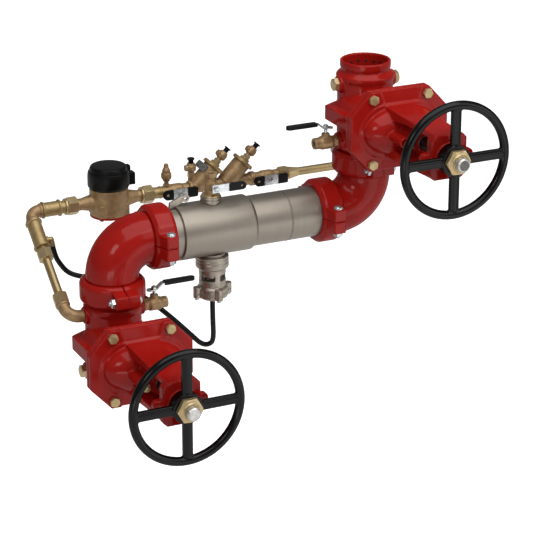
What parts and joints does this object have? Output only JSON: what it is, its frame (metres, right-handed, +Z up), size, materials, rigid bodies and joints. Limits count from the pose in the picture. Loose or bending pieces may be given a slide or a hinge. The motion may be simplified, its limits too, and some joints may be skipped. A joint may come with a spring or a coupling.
{
  "type": "reduced pressure detector assembly",
  "caption": "Backflow preventer for a fire main in a Z pattern: gate valves with handwheels, grooved elbows, check housing, relief valve and a metered bypass.",
  "frame": {"origin": "centre of the inlet pipe end, at the bottom of the lower gate valve", "axes": "+X along the check housing in the direction of flow, +Y to the back (the stems point to -Y), +Z up, along both pipe ends"},
  "size_m": [0.8804, 0.723, 0.7104],
  "materials": {
    "red_enamel": "gloss enamel over cast iron",
    "stainless": "satin blasted stainless steel",
    "cast_stainless": "cast stainless steel",
    "bronze": "cast bronze, bead blasted",
    "brass": "drawn brass, lightly polished",
    "black_enamel": "satin black enamel",
    "yellow_zinc": "yellow zinc plate on steel",
    "zinc": "bright zinc plate on steel",
    "stem_steel": "turned stainless steel",
    "wedge_rubber": "rubber over an iron wedge",
    "seal_rubber": "moulded seal rubber",
    "black_plastic": "moulded black plastic",
    "register_plastic": "moulded black plastic",
    "chrome_ball": "chromed ball",
    "lever_steel": "zinc-plated strip with a dipped grip",
    "spring_steel": "spring wire",
    "hose_rubber": "extruded black hose"
  },
  "bodies": {
    "pipework": {"inlet_valve_body": "red_enamel", "outlet_valve_body": "red_enamel", "inlet_valve_bonnet": "red_enamel", "outlet_valve_bonnet": "red_enamel", "gland_followers": "bronze", "bonnet_gaskets": "seal_rubber", "stem_packings": "seal_rubber", "bonnet_bolts": "yellow_zinc", "gland_bolts": "yellow_zinc", "port_plugs": "yellow_zinc", "inlet_elbow": "red_enamel", "outlet_elbow": "red_enamel", "coupling_halves": "red_enamel", "coupling_gaskets": "seal_rubber", "coupling_bolts": "zinc", "check_housing": "stainless", "check_seats": "cast_stainless", "check_hinge_pins": "stem_steel", "relief_body": "cast_stainless", "relief_cover": "cast_stainless", "relief_spring": "spring_steel", "relief_diaphragm": "seal_rubber", "relief_cover_screws": "stem_steel", "lever_cock_bodies": "bronze", "housing_cock_body": "bronze", "bypass_fittings": "bronze", "bypass_tubes": "brass", "bypass_nuts": "brass", "meter_case": "bronze", "meter_base_plate": "red_enamel", "meter_register": "register_plastic", "shutoff_bodies": "bronze", "small_preventer_body": "bronze", "small_preventer_covers": "bronze", "test_cocks": "brass", "cock_caps": "black_plastic", "hose_fittings": "brass", "sensing_hose": "hose_rubber"},
    "inlet_wheel": {"inlet_handwheel": "black_enamel", "inlet_yoke_nut": "bronze"},
    "inlet_gate": {"inlet_stem": "stem_steel", "inlet_wedge": "wedge_rubber"},
    "outlet_wheel": {"outlet_handwheel": "black_enamel", "outlet_yoke_nut": "bronze"},
    "outlet_gate": {"outlet_stem": "stem_steel", "outlet_wedge": "wedge_rubber"},
    "inlet_cock": {"inlet_cock_ball": "chrome_ball", "inlet_cock_lever": "lever_steel"},
    "outlet_cock": {"outlet_cock_ball": "chrome_ball", "outlet_cock_lever": "lever_steel"},
    "housing_cock": {"housing_cock_ball": "chrome_ball", "housing_cock_lever": "lever_steel"},
    "first_tee": {"first_shutoff_ball": "chrome_ball", "first_tee_handle": "lever_steel"},
    "second_tee": {"second_shutoff_ball": "chrome_ball", "second_tee_handle": "lever_steel"},
    "meter_cover": {"meter_lid": "register_plastic"},
    "first_clapper": {"first_check_clapper": "cast_stainless"},
    "second_clapper": {"second_check_clapper": "cast_stainless"},
    "relief_piston": {"relief_plunger": "stem_steel"}
  },
  "joints": [
    {"name": "inlet_wheel_turn", "type": "hinge", "parent": "pipework", "child": "inlet_wheel", "pos_m": [0, -0.409, 0.1165], "axis": [0, -1, 0], "range_deg": [0, 4720]},
    {"name": "inlet_gate_slide", "type": "slide", "parent": "pipework", "child": "inlet_gate", "axis": [0, -1, 0], "range_m": [0, 0.105]},
    {"name": "outlet_wheel_turn", "type": "hinge", "parent": "pipework", "child": "outlet_wheel", "pos_m": [0.6194, -0.409, 0.5659], "axis": [0, -1, 0], "range_deg": [0, 4720]},
    {"name": "outlet_gate_slide", "type": "slide", "parent": "pipework", "child": "outlet_gate", "axis": [0, -1, 0], "range_m": [0, 0.105]},
    {"name": "inlet_cock_turn", "type": "hinge", "parent": "pipework", "child": "inlet_cock", "pos_m": [0.09825, 0, 0.1825], "axis": [0, 0, 1], "range_deg": [-90, 0]},
    {"name": "outlet_cock_turn", "type": "hinge", "parent": "pipework", "child": "outlet_cock", "pos_m": [0.52115, 0, 0.4999], "axis": [0, 0, 1], "range_deg": [0, 90]},
    {"name": "housing_cock_turn", "type": "hinge", "parent": "pipework", "child": "housing_cock", "pos_m": [0.238, -0.03, 0.4402], "axis": [0, 1, 0], "range_deg": [-90, 0]},
    {"name": "first_tee_turn", "type": "hinge", "parent": "pipework", "child": "first_tee", "pos_m": [0.249, 0.195, 0.3562], "axis": [0, 1, 0], "range_deg": [-90, 0]},
    {"name": "second_tee_turn", "type": "hinge", "parent": "pipework", "child": "second_tee", "pos_m": [0.479, 0.195, 0.3562], "axis": [0, 1, 0], "range_deg": [-90, 0]},
    {"name": "meter_lid_hinge", "type": "hinge", "parent": "pipework", "child": "meter_cover", "pos_m": [0.1325, 0.225, 0.432], "axis": [0, 1, 0], "range_deg": [0, 110]},
    {"name": "first_clapper_swing", "type": "hinge", "parent": "pipework", "child": "first_clapper", "pos_m": [0.18, 0, 0.3852], "axis": [0, -1, 0], "range_deg": [0, 60], "stiffness_Nm_per_rad": 0.6, "springref_deg": -34.38},
    {"name": "second_clapper_swing", "type": "hinge", "parent": "pipework", "child": "second_clapper", "pos_m": [0.374, 0, 0.3852], "axis": [0, -1, 0], "range_deg": [0, 60], "stiffness_Nm_per_rad": 0.6, "springref_deg": -34.38},
    {"name": "relief_slide", "type": "slide", "parent": "pipework", "child": "relief_piston", "axis": [0, 0, 1], "range_m": [0, 0.008], "stiffness_N_per_m": 1500, "springref_m": -0.01, "deforming": ["relief_spring"]}
  ],
  "couplings": [
    {"joint": "inlet_gate_slide", "follows": "inlet_wheel_turn", "m_per_rad": 0.0012732},
    {"joint": "outlet_gate_slide", "follows": "outlet_wheel_turn", "m_per_rad": 0.0012732}
  ]
}
